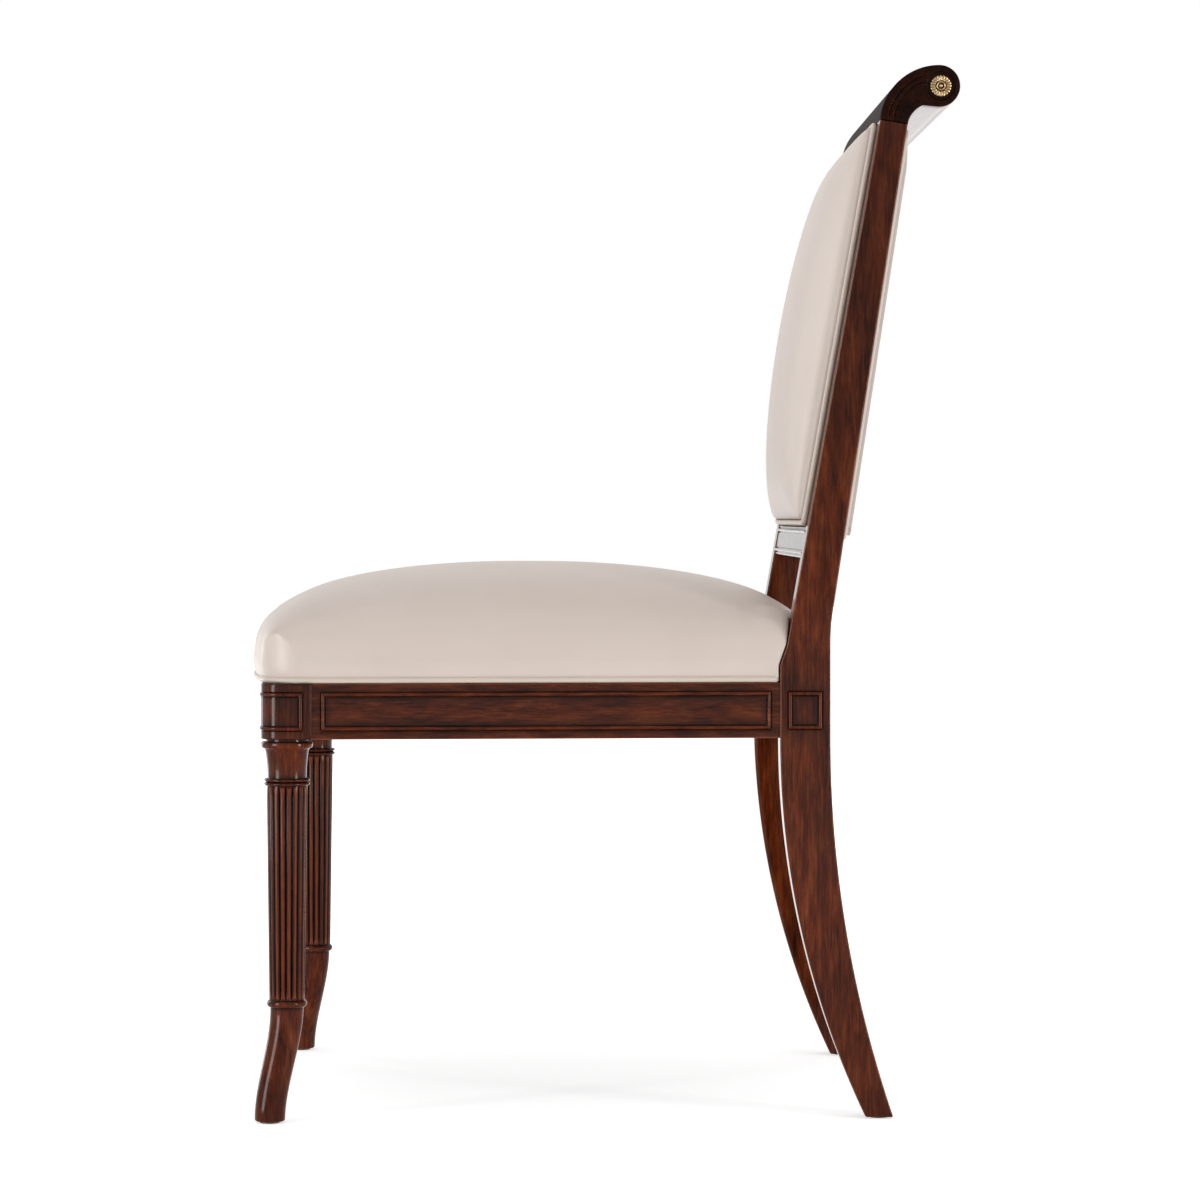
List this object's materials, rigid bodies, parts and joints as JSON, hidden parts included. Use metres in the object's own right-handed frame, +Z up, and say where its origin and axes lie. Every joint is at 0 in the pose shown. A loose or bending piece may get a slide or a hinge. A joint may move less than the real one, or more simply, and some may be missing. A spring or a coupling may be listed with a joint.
{
  "type": "side chair",
  "caption": "Upholstered side chair with reeded front legs and kicked feet, sabre rear legs, raked leather back, scrolled crest rail and crowned leather seat.",
  "frame": {"origin": "on the floor, below the middle of the bounding box", "axes": "+Z up, the front of the chair faces -Y, +X is the left of someone sitting in it"},
  "size_m": [0.522, 0.6636, 0.9687],
  "materials": {
    "polished_wood": "dark red-brown mahogany, polished to a soft gloss",
    "inner_wood": "plain sanded hardwood",
    "cream_leather": "smooth cream leather with a fine grain",
    "foam": "upholstery foam",
    "webbing": "woven jute strap",
    "dust_cloth": "black cambric",
    "brass": "aged cast brass",
    "steel": "zinc-plated steel",
    "glide_plastic": "dark nylon"
  },
  "bodies": {
    "root": {"back_board": "inner_wood", "back_cover": "cream_leather", "back_foam": "foam", "back_frame_bottom": "inner_wood", "back_frame_left": "inner_wood", "back_frame_right": "inner_wood", "back_frame_screws": "steel", "back_frame_top": "inner_wood", "back_rail_dowels": "inner_wood", "back_webbing": "webbing", "back_welt": "cream_leather", "corner_block_front_left": "inner_wood", "corner_block_front_right": "inner_wood", "corner_block_rear_left": "inner_wood", "corner_block_rear_right": "inner_wood", "corner_block_screws": "steel", "crest_dowels": "inner_wood", "crest_rail": "polished_wood", "foot_glides": "glide_plastic", "front_leg_left": "polished_wood", "front_leg_right": "polished_wood", "front_rail_bead": "polished_wood", "front_seat_rail": "polished_wood", "leg_block_bead_left": "polished_wood", "leg_block_bead_right": "polished_wood", "lower_back_rail": "polished_wood", "outside_back_cover": "cream_leather", "outside_back_padding": "foam", "outside_back_welt": "cream_leather", "post_bead_left": "polished_wood", "post_bead_right": "polished_wood", "rear_post_left": "polished_wood", "rear_post_right": "polished_wood", "rear_seat_rail": "polished_wood", "rosette_left": "brass", "rosette_right": "brass", "seat_cover": "cream_leather", "seat_dust_cover": "dust_cloth", "seat_foam": "foam", "seat_frame_front": "inner_wood", "seat_frame_left": "inner_wood", "seat_frame_rear": "inner_wood", "seat_frame_right": "inner_wood", "seat_rail_dowels": "inner_wood", "seat_screws": "steel", "seat_webbing": "webbing", "seat_welt": "cream_leather", "side_rail_bead_left": "polished_wood", "side_rail_bead_right": "polished_wood", "side_seat_rail_left": "polished_wood", "side_seat_rail_right": "polished_wood"}
  },
  "joints": []
}
